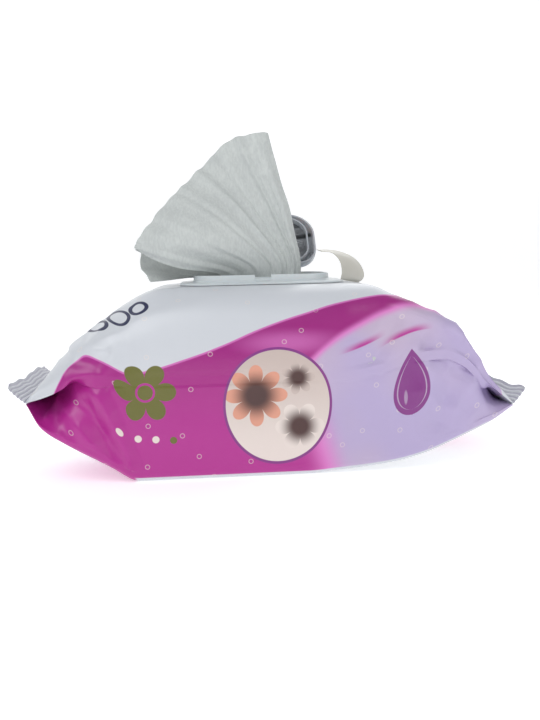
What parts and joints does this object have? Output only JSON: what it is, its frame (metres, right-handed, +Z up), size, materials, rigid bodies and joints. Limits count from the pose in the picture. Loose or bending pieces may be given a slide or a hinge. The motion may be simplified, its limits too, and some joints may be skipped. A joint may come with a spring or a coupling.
{
  "type": "wet wipes pack",
  "caption": "Soft gusseted film pack of folded wet wipes with a flip-lid frame standing open, a peeled label and one wipe pulled up through the slot.",
  "frame": {"origin": "middle of the rectangle that the pack covers, on the surface that it stands on", "axes": "+X along the pack to its right-hand seal, -Y to the printed front, +Z up"},
  "size_m": [0.277, 0.11, 0.194],
  "materials": {
    "printed_film": "glossy printed flow-wrap film, white on top, magenta fading to lilac on the sides",
    "folded_wipes": "damp folded non-woven",
    "wipe_sheet": "thin damp non-woven sheet",
    "frame_plastic": "moulded white polypropylene, satin gloss",
    "lid_plastic": "moulded white polypropylene, satin gloss",
    "label_film": "warm white label film"
  },
  "bodies": {
    "pack": {"film_wrapper": "printed_film", "wipe_stack": "folded_wipes", "lid_frame": "frame_plastic", "pulled_wipe": "wipe_sheet", "reseal_label": "label_film"},
    "lid": {"flip_lid": "lid_plastic"}
  },
  "joints": [
    {"name": "lid_hinge", "type": "hinge", "parent": "pack", "child": "lid", "pos_m": [0, 0.02284, 0.11241], "axis": [1, 0, 0], "range_deg": [0, 128], "deforming": ["pulled_wipe"]}
  ]
}
